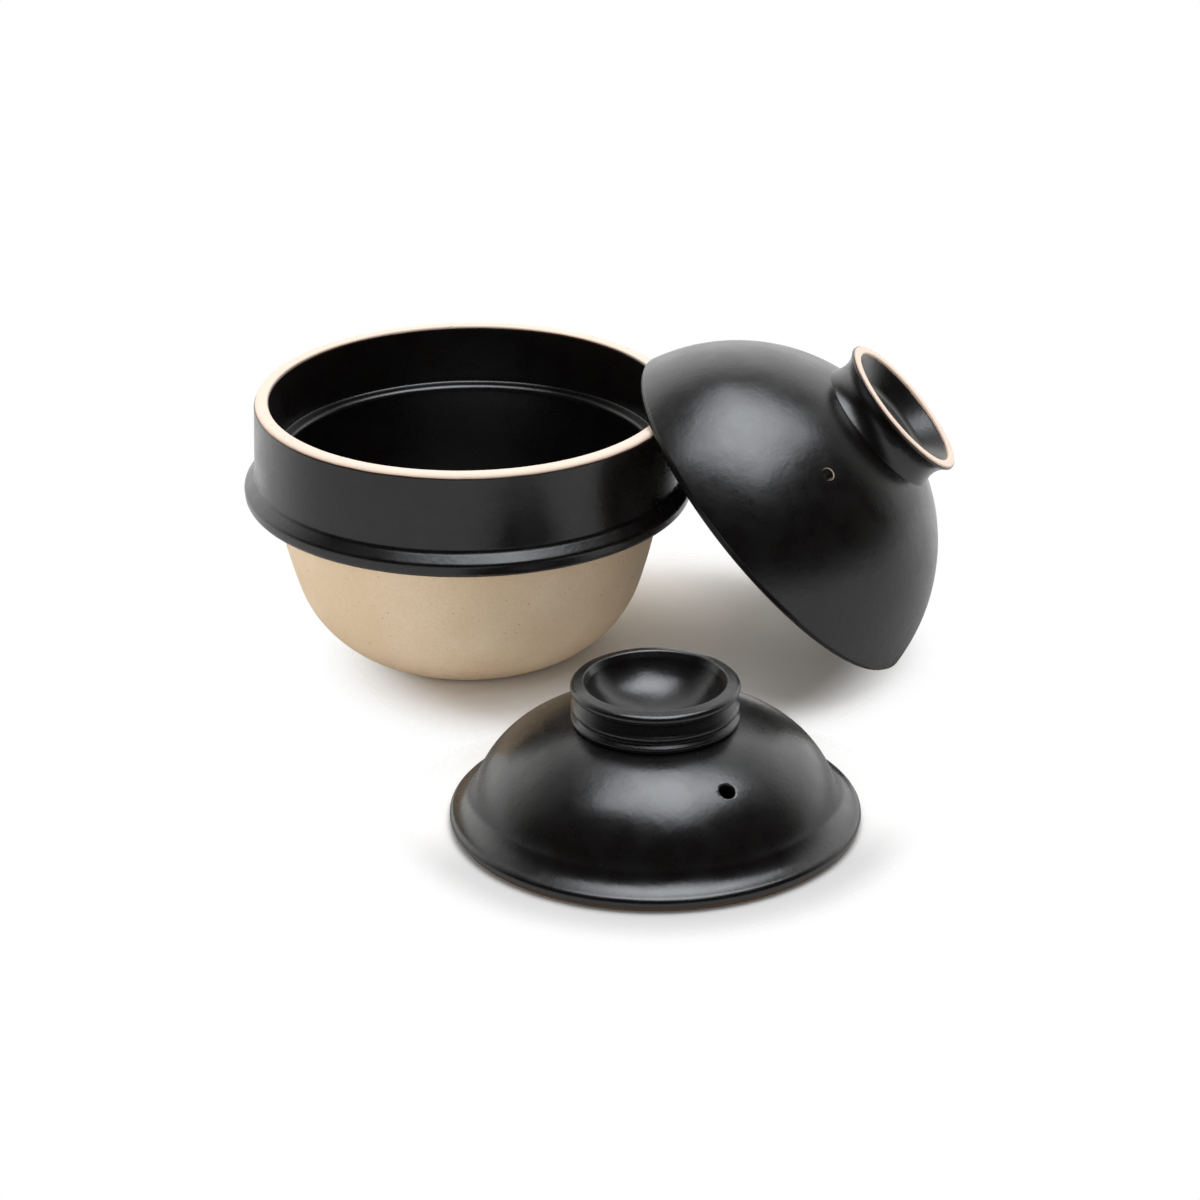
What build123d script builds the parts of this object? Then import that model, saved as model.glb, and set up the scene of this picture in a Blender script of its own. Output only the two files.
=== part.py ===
from build123d import *
import os
from math import acos, asin, cos, degrees, hypot, radians, sin

# Two-lid clay rice pot: a round bowl with a bead and a tall collar, a domed outer lid that leans on
# the pot's rim, and a domed inner lid that stands by itself in front. Millimetres, +Z up. The origin
# is the middle of the pot's foot, on the floor. Every piece is turned on a wheel, so it is drawn as a
# section, with the radius along X and the height along Y. These are sizes of the bare clay, apart from
# MOUTH_R and the play of the lids, which are measured on the glaze.

# Glaze, play and gaps
GLAZE = 0.4
OUTER_LID_PLAY = 0.7
INNER_LID_PLAY = 2.5
LEAN_GAP = 0.35
OVERRUN = 5.0

# Pot, from the rim down to the foot
MOUTH_R = 83.0
POT_H = 111.5
RIM_WALL = 5.4
RIM_ROUND_OUT = 1.6
RIM_ROUND_IN = 0.8
COLLAR_H = 32.0
COLLAR_FLARE = 0.9
CREASE_H = 3.2
CREASE_OUT = 1.1
BEAD_H = 11.3
BEAD_OUT = 4.3
BEAD_TUCK = 5.0
BEAD_CROWN_SHARE = 0.46
UNDER_ROUND = 2.0
SHOULDER_IN = 12.6
FOOT_R = 43.0
FOOT_RING_W = 9.0
FOOT_HOLLOW = 1.0

# Pot's bowl: where its two arcs meet, as shares of the way from the foot to the shoulder
FOOT_SLOPE = 19.4
BELLY_SLOPE = 68.0
BELLY_OUT_SHARE = 0.773
BELLY_UP_SHARE = 0.444

# Pot's inside
BOWL_WALL = 6.5
FLOOR_WALL = 8.0
FLOOR_FLAT_R = 26.0
LEDGE_DEPTH = 26.0
LEDGE_W = 5.2
LEDGE_DROP = 2.6
LEDGE_ROUND_IN = 1.4
LEDGE_ROUND_OUT = 1.8
MOUTH_TAPER = 0.6

# Outer lid, from its rim up
OUTER_WALL = 5.2
OUTER_CROWN_H = 66.7
OUTER_NECK_R = 30.4
OUTER_KNOB_H = 15.0
WAIST_IN = 1.8
WAIST_UP_SHARE = 0.475
RING_OUT = 1.3
RING_WALL = 3.8
RING_SIDE_H = 1.6
RING_ROUND = 0.7
OUTER_DISH_DEPTH = 10.2
OUTER_VENT_R = 2.6
OUTER_VENT_BARE = 0.6
OUTER_VENT_OUT_SHARE = 0.6716
OUTER_VENT_TURN = -104.25

# Outer lid's lean from upright and its turn about the pot, and how finely its reach is found
LEAN = 48.0
LEAN_TURN = -6.07
RINGS = 12
HALVINGS = 24

# Inner lid's brim and dome, from the floor up
BRIM_FOOT_W = 7.0
BRIM_FOOT_IN = 2.6
BRIM_BARE_IN = 0.6
BRIM_BARE_H = 2.0
BRIM_TOP_IN = 1.4
BRIM_TOP_H = 5.6
INNER_WALL = 5.5
DOME_FOOT_IN = 9.5
DOME_FOOT_H = 13.2
DOME_TOP_H = 42.6
INNER_NECK_R = 30.6
DOME_TOP_SLOPE = 1.8
SHOULDER_OUT_SHARE = 0.6575
SHOULDER_UP_SHARE = 0.646
SHOULDER_SLOPE = 41.5
DOME_FOOT_SLOPE = 66.0

# Inner lid's knob, from the dome up
INNER_KNOB_H = 16.9
BEADS = 2
RING_BEAD_OUT = 0.7
RING_BEAD_UP = 0.6
RING_BEAD_PITCH = 3.5
RING_BEAD_VALLEY = 0.9
GROOVE_IN = 1.9
LIP_OUT = 1.4
LIP_ROUND = 2.0
LIP_UNDER = 62.0
DISH_IN = 4.3
DISH_DROP = 1.0
INNER_DISH_DEPTH = 15.6
INNER_VENT_R = 3.2
INNER_VENT_OUT_SHARE = 0.6754

# Inner lid's place: its turn about the pot and its gap to the pot's bead
INNER_LID_TURN = -67.9
INNER_LID_GAP = 13.1
INNER_VENT_TURN = -62.4

# Radii and heights that more than one piece follows
mouth_r = MOUTH_R + GLAZE
collar_r = mouth_r + RIM_WALL
collar_foot_r = collar_r + COLLAR_FLARE
crease_z = POT_H - COLLAR_H
under_z = crease_z - BEAD_H
bead_r = collar_foot_r + BEAD_OUT
shoulder_r = bead_r - SHOULDER_IN
outer_lid_r = MOUTH_R - OUTER_LID_PLAY - GLAZE
outer_rim_round = OUTER_WALL / 2
outer_rim_r = outer_lid_r - outer_rim_round
outer_rise = OUTER_CROWN_H - OUTER_WALL
outer_dome_r = (outer_rim_r**2 + outer_rise**2) / (2 * outer_rise)
outer_centre_z = OUTER_CROWN_H - outer_rim_round - outer_dome_r
inner_lid_r = MOUTH_R - INNER_LID_PLAY - GLAZE


def heading(angle):
    """Unit direction at an angle above the radius."""
    return cos(radians(angle)), sin(radians(angle))


def inset(point, slope, wall):
    """Point one wall inside an outline that climbs at this slope, on the side of the axis."""
    across, up = heading(slope)
    return point[0] - wall * up, point[1] + wall * across


def between(start, end, out_share, up_share):
    """Point at these shares of the way out and of the way up from start to end."""
    return start[0] + (end[0] - start[0]) * out_share, start[1] + (end[1] - start[1]) * up_share


def turned(*lines):
    """Solid turned about the axis from the section that these lines close."""
    return revolve(Plane.XZ * make_face(lines), Axis.Z)


def coat(lines, side):
    """Glaze on a stretch of the outline: the strip between it and its parallel, turned."""
    outline = Wire([edge for line in lines for edge in line.edges()])
    strip = offset(outline, GLAZE, side=side, closed=True)
    return revolve(Plane.XZ * make_face(strip.edges()), Axis.Z)


def vent(dome_arc, reach, turn, radius, wall):
    """Drill for a steam vent, square to the dome's arc at this reach from the axis."""
    centre = dome_arc.arc_center
    lean = degrees(asin((reach - centre.X) / dome_arc.radius))
    drill = Cylinder(radius, wall + OVERRUN)
    at_arc = Pos(centre.X, 0, centre.Y) * Rot(0, lean, 0) * Pos(0, 0, dome_arc.radius - wall / 2)
    return Rot(0, 0, turn) * at_arc * drill


def pot_outside():
    """Pot's outline from the bead's lower edge up to the rim: the part that the outer coat covers."""
    lip = (bead_r - BEAD_TUCK, under_z)
    crown = (bead_r, under_z + BEAD_H * BEAD_CROWN_SHARE)
    crease = (collar_foot_r + CREASE_OUT, crease_z)
    collar = Line((collar_r, POT_H - RIM_ROUND_OUT), (collar_foot_r, crease_z + CREASE_H))
    hollow = TangentArc(collar @ 1, crease, tangent=collar % 1)
    bead = ThreePointArc(crease, crown, lip)
    return [collar, hollow, bead]


def pot_inside():
    """Pot's outline from the middle of its floor up to the rim: the part that the inner coat covers."""
    foot, shoulder = (FOOT_R, 0), (shoulder_r, under_z)
    belly = inset(between(foot, shoulder, BELLY_OUT_SHARE, BELLY_UP_SHARE), BELLY_SLOPE, BOWL_WALL)
    ledge_r = mouth_r - MOUTH_TAPER - LEDGE_W
    ledge_z = POT_H - LEDGE_DEPTH
    floor = Line((0, FLOOR_WALL), (FLOOR_FLAT_R, FLOOR_WALL))
    low_wall = TangentArc(floor @ 1, belly, tangent=floor % 1)
    high_wall = TangentArc(belly, (ledge_r, ledge_z - LEDGE_DROP), tangent=low_wall % 1)
    ledge = FilletPolyline(
        high_wall @ 1,
        (ledge_r, ledge_z),
        (mouth_r - MOUTH_TAPER, ledge_z),
        (mouth_r, POT_H - RIM_ROUND_IN),
        radius=[LEDGE_ROUND_OUT, LEDGE_ROUND_IN],
    )
    return [floor, low_wall, high_wall, ledge]


def pot_bare():
    """Pot's bare outline: the foot and bowl up to the bead's lower edge, and the rim."""
    foot, shoulder = (FOOT_R, 0), (shoulder_r, under_z)
    belly = between(foot, shoulder, BELLY_OUT_SHARE, BELLY_UP_SHARE)
    ring_r = FOOT_R - FOOT_RING_W
    foot_line = Polyline((0, FLOOR_WALL), (0, FOOT_HOLLOW), (ring_r, FOOT_HOLLOW), (ring_r, 0), foot)
    low_bowl = TangentArc(foot, belly, tangent=heading(FOOT_SLOPE))
    high_bowl = TangentArc(belly, (shoulder_r, under_z - UNDER_ROUND), tangent=low_bowl % 1)
    under_round = TangentArc(high_bowl @ 1, (shoulder_r + UNDER_ROUND, under_z), tangent=high_bowl % 1)
    under = Line(under_round @ 1, (bead_r - BEAD_TUCK, under_z))
    up = (0, 1)
    rim_out = TangentArc((collar_r, POT_H - RIM_ROUND_OUT), (collar_r - RIM_ROUND_OUT, POT_H), tangent=up)
    rim_in = TangentArc((mouth_r, POT_H - RIM_ROUND_IN), (mouth_r + RIM_ROUND_IN, POT_H), tangent=up)
    rim_top = Line(rim_out @ 1, rim_in @ 1)
    return [foot_line, low_bowl, high_bowl, under_round, under, rim_out, rim_top, rim_in]


def pot():
    """Clay pot and its two glaze coats."""
    return {
        "pot_body": turned(*pot_bare(), *pot_outside(), *pot_inside()),
        "pot_glaze_outside": coat(pot_outside(), Side.LEFT),
        "pot_glaze_inside": coat(pot_inside(), Side.LEFT),
    }


def dome_arc(radius, start_r, end_r):
    """Arc of the outer lid's dome, of this radius, from one distance from the axis to another."""
    start_angle = degrees(acos(start_r / radius))
    end_angle = degrees(acos(end_r / radius))
    return CenterArc((0, outer_centre_z), radius, start_angle, end_angle - start_angle)


def outer_lid():
    """Outer lid upright on its rim, with its knob apart from its dome along the neck."""
    outside_r = outer_dome_r + outer_rim_round
    inside_r = outer_dome_r - outer_rim_round
    rim_share = outer_rim_r / outer_dome_r
    outside = dome_arc(outside_r, outside_r * rim_share, OUTER_NECK_R)
    inside = dome_arc(inside_r, inside_r * rim_share, OUTER_NECK_R)
    crown = dome_arc(inside_r, OUTER_NECK_R, 0)
    rim = ThreePointArc(inside @ 0, (outer_rim_r, 0), outside @ 0)
    joint = Line(inside @ 1, outside @ 1)

    foot = outside @ 1
    ring_z = foot.Y + OUTER_KNOB_H
    ring_r = OUTER_NECK_R + RING_OUT
    side = (ring_r, ring_z - RING_SIDE_H)
    waist = (OUTER_NECK_R - WAIST_IN, foot.Y + (side[1] - foot.Y) * WAIST_UP_SHARE)
    neck = ThreePointArc(foot, waist, side)
    ring = FilletPolyline(
        side,
        (ring_r, ring_z),
        (ring_r - RING_WALL, ring_z),
        (ring_r - RING_WALL, ring_z - RING_SIDE_H),
        radius=RING_ROUND,
    )
    dish = TangentArc((0, ring_z - OUTER_DISH_DEPTH), ring @ 1, tangent=(1, 0))
    axis = Line(crown @ 1, dish @ 0)

    reach = outer_lid_r * OUTER_VENT_OUT_SHARE
    drill = vent(outside, reach, OUTER_VENT_TURN, OUTER_VENT_R, OUTER_WALL)
    wide_drill = vent(outside, reach, OUTER_VENT_TURN, OUTER_VENT_R + OUTER_VENT_BARE, OUTER_WALL)
    return {
        "outer_lid_dome": turned(outside, joint, inside, rim) - drill,
        "outer_lid_knob": turned(crown, joint, neck, ring, dish, axis),
        "outer_lid_glaze_outside": coat([outside, neck], Side.RIGHT) - wide_drill,
        "outer_lid_glaze_inside": coat([inside, crown], Side.LEFT) - wide_drill,
        "outer_lid_glaze_dish": coat([dish], Side.LEFT),
    }


def knob_outline(neck):
    """Inner lid's knob outline from its neck up: the ring beads, the groove, the lip and the dish."""
    bead_out_r = INNER_NECK_R + RING_BEAD_OUT
    valley_r = bead_out_r - RING_BEAD_VALLEY
    lip_r, lip_z = bead_out_r + LIP_OUT, DOME_TOP_H + INNER_KNOB_H
    dish_edge = (lip_r - DISH_IN, lip_z - DISH_DROP)
    low = (valley_r, DOME_TOP_H + RING_BEAD_UP)
    lines = [Line(neck, low)]
    for _ in range(BEADS):
        crown, high = (bead_out_r, low[1] + RING_BEAD_PITCH / 2), (valley_r, low[1] + RING_BEAD_PITCH)
        lines.append(ThreePointArc(low, crown, high))
        low = high
    across, up = heading(-LIP_UNDER)
    under = (lip_r - LIP_ROUND + LIP_ROUND * across, lip_z - LIP_ROUND + LIP_ROUND * up)
    lines.append(ThreePointArc(low, (bead_out_r - GROOVE_IN, (low[1] + under[1]) / 2), under))
    lines.append(ThreePointArc(under, (lip_r, lip_z - LIP_ROUND), (lip_r - LIP_ROUND, lip_z)))
    lines.append(TangentArc(lines[-1] @ 1, dish_edge, tangent=(-1, 0)))
    lines.append(TangentArc((0, lip_z - INNER_DISH_DEPTH), dish_edge, tangent=(1, 0)))
    return lines


def inner_lid():
    """Inner lid upright on its brim, with its knob apart from its dome along the neck."""
    neck, dome_foot = (INNER_NECK_R, DOME_TOP_H), (inner_lid_r - DOME_FOOT_IN, DOME_FOOT_H)
    shoulder = between(dome_foot, neck, 1 - SHOULDER_OUT_SHARE, SHOULDER_UP_SHARE)
    brim_top = (inner_lid_r - BRIM_TOP_IN, BRIM_TOP_H)
    brim_bare = (inner_lid_r - BRIM_BARE_IN, BRIM_BARE_H)
    dome = TangentArc(neck, shoulder, tangent=heading(-DOME_TOP_SLOPE))
    wall = TangentArc(shoulder, dome_foot, tangent=dome % 1)
    flare = TangentArc(dome_foot, brim_top, tangent=wall % 1)
    edge = TangentArc(brim_top, brim_bare, tangent=flare % 1)

    foot_out_r = inner_lid_r - BRIM_FOOT_IN
    foot_in_r = foot_out_r - BRIM_FOOT_W
    neck_in = (INNER_NECK_R, DOME_TOP_H - INNER_WALL)
    shoulder_in = inset(shoulder, 180 - SHOULDER_SLOPE, INNER_WALL)
    dome_foot_in = inset(dome_foot, 180 - DOME_FOOT_SLOPE, INNER_WALL)
    crown = Line((0, neck_in[1]), neck_in)
    dome_in = TangentArc(neck_in, shoulder_in, tangent=heading(-DOME_TOP_SLOPE))
    wall_in = TangentArc(shoulder_in, dome_foot_in, tangent=dome_in % 1)
    skirt = TangentArc(dome_foot_in, (foot_in_r, BRIM_BARE_H), tangent=wall_in % 1)
    foot = Polyline((foot_in_r, BRIM_BARE_H), (foot_in_r, 0), (foot_out_r, 0))
    under_edge = TangentArc((foot_out_r, 0), brim_bare, tangent=(1, 0))
    joint = Line(neck_in, neck)

    knob = knob_outline(neck)
    axis = Line(crown @ 0, knob[-1] @ 0)
    drill = vent(dome, inner_lid_r * INNER_VENT_OUT_SHARE, INNER_VENT_TURN, INNER_VENT_R, INNER_WALL)
    clay_dome = turned(dome, wall, flare, edge, under_edge, foot, skirt, wall_in, dome_in, joint)
    return {
        "inner_lid_dome": clay_dome - drill,
        "inner_lid_knob": turned(crown, joint, *knob, axis),
        "inner_lid_glaze_outside": coat([edge, flare, wall, dome, *knob], Side.LEFT) - drill,
        "inner_lid_glaze_inside": coat([crown, dome_in, wall_in, skirt], Side.RIGHT) - drill,
    }


def lean_drop():
    """Height of the middle of the leaning lid's rim when the rim touches the floor."""
    return outer_rim_r * sin(radians(LEAN)) + outer_rim_round * (1 - cos(radians(LEAN)))


def pot_gap(x, y, z):
    """Distance from a point to the pot, taken as a bead, a collar and a rim, each narrower than the last."""
    gaps = []
    for radius, height, edge in (
        (bead_r + GLAZE, crease_z, 0),
        (collar_foot_r + GLAZE, POT_H - RIM_ROUND_OUT, 0),
        (collar_r, POT_H, RIM_ROUND_OUT),
    ):
        beside, above = max(hypot(x, y) - radius + edge, 0), max(z - height + edge, 0)
        gaps.append(hypot(beside, above) - edge)
    return min(gaps)


def lean_gap(reach):
    """Least gap between the pot and the leaning lid's dome, whose rim's middle is this far from the axis."""
    tilt_cos, tilt_sin = cos(radians(LEAN)), sin(radians(LEAN))
    rim_turn = acos((outer_rim_round - outer_centre_z) / outer_dome_r)
    gaps = []
    for ring in range(RINGS + 1):
        ring_turn = rim_turn * ring / RINGS
        up = outer_centre_z + outer_dome_r * cos(ring_turn)
        for angle in range(180):
            out = outer_dome_r * sin(ring_turn) * cos(radians(angle))
            x = reach + out * tilt_cos + up * tilt_sin
            y = outer_dome_r * sin(ring_turn) * sin(radians(angle))
            z = lean_drop() - out * tilt_sin + up * tilt_cos
            gaps.append(pot_gap(x, y, z) - outer_rim_round)
    return min(gaps)


def lean_reach():
    """How far out the leaning lid's rim has its middle, for a gap of LEAN_GAP to the pot."""
    near, far = collar_r, collar_r + 2 * outer_lid_r
    for _ in range(HALVINGS):
        middle = (near + far) / 2
        if lean_gap(middle) < LEAN_GAP:
            near = middle
        else:
            far = middle
    return far


def outer_lid_place():
    """Outer lid's place as it leans on the pot's rim."""
    return Rot(0, 0, LEAN_TURN) * Pos(lean_reach(), 0, lean_drop()) * Rot(0, LEAN, 0)


def inner_lid_place():
    """Inner lid's place on the floor beside the pot."""
    away = bead_r + GLAZE + INNER_LID_GAP + GLAZE + inner_lid_r
    return Rot(0, 0, INNER_LID_TURN) * Pos(away, 0, 0) * Rot(0, 0, -INNER_LID_TURN)


def main():
    """Place every piece and write one file for each."""
    os.makedirs("parts", exist_ok=True)
    pieces = pot()
    pieces |= {name: outer_lid_place() * solid for name, solid in outer_lid().items()}
    pieces |= {name: inner_lid_place() * solid for name, solid in inner_lid().items()}
    for name, solid in pieces.items():
        export_step(solid, f"parts/{name}.step")


main()
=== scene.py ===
# %% [markdown]
# # A clay rice pot with two lids, dressed for the camera
# The pot is a thick, round clay bowl for cooking rice over a flame. A wide shoulder bead and a tall
# collar are covered with black satin glaze, and the bowl under the bead is bare, sandy clay. It has
# two lids. The outer one leans on the pot's rim, and the inner one stands on the floor in front.
# The packed CAD model is the frame. Every piece made here stands exactly where one of its nodes is.

from math import asin, atan2, cos, degrees, hypot, pi, radians, sin, sqrt

import bmesh
import bpy
import numpy as np
from mathutils import Matrix, Vector, noise


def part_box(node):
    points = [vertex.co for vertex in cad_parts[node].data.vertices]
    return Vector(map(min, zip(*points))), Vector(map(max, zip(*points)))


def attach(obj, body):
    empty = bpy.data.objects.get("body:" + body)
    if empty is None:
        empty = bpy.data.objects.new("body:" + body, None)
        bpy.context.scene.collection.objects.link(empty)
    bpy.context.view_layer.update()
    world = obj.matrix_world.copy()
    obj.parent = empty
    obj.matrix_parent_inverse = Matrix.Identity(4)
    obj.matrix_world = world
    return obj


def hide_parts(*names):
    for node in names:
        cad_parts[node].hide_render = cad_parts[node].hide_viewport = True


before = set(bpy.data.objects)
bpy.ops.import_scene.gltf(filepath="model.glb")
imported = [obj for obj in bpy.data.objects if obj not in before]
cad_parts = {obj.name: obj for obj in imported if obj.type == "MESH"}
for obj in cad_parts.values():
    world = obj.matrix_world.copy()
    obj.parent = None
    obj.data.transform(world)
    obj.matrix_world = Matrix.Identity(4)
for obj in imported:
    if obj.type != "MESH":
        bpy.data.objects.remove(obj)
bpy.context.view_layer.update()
MM = 0.001
TINY = 1e-6
print("nodes:", sorted(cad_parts))

# %% [markdown]
# ## The tools of a wheel
# A potter draws the section of a piece with ribs and wires while the wheel turns it. A curve object
# with a screw modifier could turn such a section too. Here the section stays a plain list of points,
# radius and height in millimetres, because the clay and the glaze on it then share the same line.
# The helpers draw straight runs, arcs that leave along a heading, and arcs through a middle point.


# %% Straight runs and arcs
def run(start, end, step=2.0):
    """Points along a straight run."""
    count = max(int(hypot(end[0] - start[0], end[1] - start[1]) / step), 1)
    return [tuple(p) for p in np.linspace(start, end, count + 1)]


def arc(start, heading, end, steps=24):
    """Points on the arc that leaves start at a heading, in degrees, and its heading at the end."""
    s, e = np.array(start, float), np.array(end, float)
    along = np.array([cos(radians(heading)), sin(radians(heading))])
    across = np.array([-along[1], along[0]])
    way = e - s
    if abs(way @ across) < 1e-9:
        return run(start, end), heading
    radius = way @ way / (2 * way @ across)
    turn = 2 * atan2(way @ across, way @ along)
    angles = np.linspace(0, turn, steps + 1)[:, None]
    points = s + radius * (np.sin(angles) * along + (1 - np.cos(angles)) * across)
    return [tuple(p) for p in points], heading + degrees(turn)


def circle_through(start, middle, end):
    """Centre of the circle through three points."""
    (ax, ay), (bx, by), (cx, cy) = start, middle, end
    twice = 2 * (ax * (by - cy) + bx * (cy - ay) + cx * (ay - by))
    a2, b2, c2 = ax * ax + ay * ay, bx * bx + by * by, cx * cx + cy * cy
    x = (a2 * (by - cy) + b2 * (cy - ay) + c2 * (ay - by)) / twice
    y = (a2 * (cx - bx) + b2 * (ax - cx) + c2 * (bx - ax)) / twice
    return x, y


def bow(start, middle, end, steps=16):
    """Points on the arc through three points."""
    x, y = circle_through(start, middle, end)
    at_start, at_middle, at_end = (atan2(q[1] - y, q[0] - x) for q in (start, middle, end))
    turn = (at_middle - at_start + pi) % (2 * pi) - pi
    turn += (at_end - at_middle + pi) % (2 * pi) - pi
    radius = hypot(start[0] - x, start[1] - y)
    angles = at_start + np.linspace(0, turn, steps + 1)
    return [(x + radius * cos(a), y + radius * sin(a)) for a in angles]


print("a quarter turn ends at", arc((0, 0), 0, (1, 1))[1], "degrees")


# %% Rounded corners and joined lines
def rounded(corners, radii, steps=6, step=2.0):
    """Straight runs whose inner corners are rounded with these radii."""
    points = [tuple(corners[0])]
    for k, radius in enumerate(radii, 1):
        before, here, after = (np.array(corners[i], float) for i in (k - 1, k, k + 1))
        u, v = before - here, after - here
        u, v = u / np.linalg.norm(u), v / np.linalg.norm(v)
        half = np.arccos(np.clip(u @ v, -1, 1)) / 2
        reach = radius / np.tan(half)
        start, end = here + u * reach, here + v * reach
        centre = here + (u + v) / np.linalg.norm(u + v) * radius / np.sin(half)
        middle = centre + (here - centre) / np.linalg.norm(here - centre) * radius
        points += run(points[-1], start, step)[1:]
        points += bow(start, middle, end, steps)[1:]
    return points + run(points[-1], corners[-1], step)[1:]


def joined(*runs):
    """One line of points from runs that follow each other."""
    points = list(runs[0])
    for more in runs[1:]:
        for p in more[1:]:
            if hypot(p[0] - points[-1][0], p[1] - points[-1][1]) > TINY:
                points.append(p)
    return points


def inset(point, slope, wall):
    """Point one wall inside an outline that climbs at this slope."""
    return point[0] - wall * sin(radians(slope)), point[1] + wall * cos(radians(slope))


print("a corner of radius 1 has", len(rounded([(0, 0), (4, 0), (4, 4)], [1])), "points")

# %% [markdown]
# ## Turning the clay
# Each clay piece is one closed section turned about the wheel's axis. The rings of points are built
# directly as a mesh: a screw modifier would leave a seam and a pinched pole at the axis, while here
# the last ring of quads meets the first, and a ring on the axis is a single point.


# %% Turned meshes
def grid_piece(name, rings, closed):
    """Surface through rings of points in millimetres, each a circle or a single pole."""
    points, starts, counts = [], [], []
    for ring in rings:
        pole = np.hypot(ring[:, 0], ring[:, 1]).max() < 1e-5
        ring = ring[:1] if pole else ring
        starts.append(len(points))
        counts.append(len(ring))
        points += ring.tolist()
    faces = []
    order = list(range(len(rings)))
    pairs = zip(order, order[1:] + order[:1]) if closed else zip(order, order[1:])
    for a, b in pairs:
        turns = max(counts[a], counts[b])
        if turns == 1:
            continue
        for i in range(turns):
            j = (i + 1) % turns
            corners = [starts[a] + i % counts[a], starts[b] + i % counts[b]]
            corners += [starts[b] + j % counts[b], starts[a] + j % counts[a]]
            faces.append(tuple(dict.fromkeys(corners)))
    mesh = bpy.data.meshes.new(name)
    mesh.from_pydata((np.asarray(points) * MM).tolist(), [], faces)
    mesh.validate()
    mesh.update()
    piece = bpy.data.objects.new(name, mesh)
    bpy.context.scene.collection.objects.link(piece)
    return piece


def circle(turns):
    """Cosines and sines of the directions round the wheel."""
    angles = np.arange(turns) * 2 * pi / turns
    return np.cos(angles), np.sin(angles)


def turn_clay(name, section, turns=256):
    """Clay piece: the closed section, turned about the axis."""
    c, s = circle(turns)
    rings = [np.column_stack([r * c, r * s, np.full(turns, z)]) for r, z in section]
    return grid_piece(name, rings, closed=True)


def face_out(piece):
    """Turn every face of a closed mesh outward."""
    work = bmesh.new()
    work.from_mesh(piece.data)
    bmesh.ops.remove_doubles(work, verts=work.verts, dist=1e-8)
    bmesh.ops.recalc_face_normals(work, faces=work.faces)
    if work.calc_volume(signed=True) < 0:
        bmesh.ops.reverse_faces(work, faces=work.faces)
    work.to_mesh(piece.data)
    work.free()


print("one turn of the wheel has", len(circle(256)[0]), "steps")

# %% [markdown]
# ## Glazing
# Glaze is a skin of its own on the clay, and its thickness shows wherever it ends. A solidify
# modifier could grow such a skin, but it can't end in a soft, wandering edge. So each coat is the
# strip between a stretch of the clay's outline and the same line moved out by the glaze's thickness.
# Glaze pools in narrow valleys, so the moved line is smoothed there, and the ends of the strip are
# shifted anew for every direction round the wheel.


# %% Places along an outline
def lengths(points):
    """Distance along a line of points to each of them."""
    steps = np.hypot(*np.diff(np.array(points), axis=0).T)
    return np.concatenate([[0], np.cumsum(steps)])


def mark(points, target):
    """Distance along a line of points to the one nearest a target."""
    gaps = np.hypot(*(np.array(points) - np.array(target)).T)
    return lengths(points)[int(gaps.argmin())]


EDGE_WAVES = (2, 3, 5, 7, 11, 16, 23, 34, 47, 61)


def wander(turns, seed, amount):
    """How far an edge wanders, in millimetres, for each direction round the wheel."""
    rng = np.random.default_rng(seed)
    angles = np.arange(turns) * 2 * pi / turns
    line = np.zeros(turns)
    for waves in EDGE_WAVES:
        line += np.sin(waves * angles + rng.uniform(0, 2 * pi)) * rng.uniform(0.4, 1) / sqrt(waves)
    return line / np.abs(line).max() * amount


VALLEY, VALLEY_SMOOTHINGS = 0.96, 8


def raised(points, rise, side):
    """Line of points moved out by a rise, with its narrow valleys filled as glaze fills them."""
    points = np.array(points)
    along = np.gradient(points, axis=0)
    along /= np.linalg.norm(along, axis=1)[:, None]
    out = np.column_stack([-along[:, 1], along[:, 0]]) * side
    moved = points + out * rise
    gaps = np.linalg.norm(moved[:, None] - points[None], axis=2).min(axis=1)
    good = np.flatnonzero(gaps > rise * VALLEY)
    every = np.arange(len(points))
    for axis in (0, 1):
        moved[:, axis] = np.interp(every, good, moved[good, axis])
    near = np.convolve(gaps <= rise * VALLEY, np.ones(5), "same") > 0
    near[[0, -1]] = False
    for _ in range(VALLEY_SMOOTHINGS if near.any() else 0):
        middle = (np.roll(moved, 1, axis=0) + np.roll(moved, -1, axis=0)) / 2
        moved[near] = (moved[near] + middle[near]) / 2
    return moved


print("an edge wanders by up to", round(float(np.abs(wander(256, 1, 0.2)).max()), 2), "mm")

# %% A glaze coat
GLAZE, SUNK, EDGE_W = 0.4, 0.06, 0.75
EDGE_STEPS = [0, 0.03, 0.08, 0.16, 0.28, 0.44, 0.62, 0.85, 1.15, 1.6]
EDGE_BAND = 2.0
HOLD = 4


def stations(spots, start, end, at_axis):
    """Distances along the outline at which a coat has rings, closer together near its edges."""
    low, high = start if at_axis else start + EDGE_BAND, end - EDGE_BAND
    inner = [s for s in spots if low <= s <= high]
    first = [] if at_axis else [start + d for d in EDGE_STEPS]
    return np.array(first + inner + [end - d for d in reversed(EDGE_STEPS)])


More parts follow.
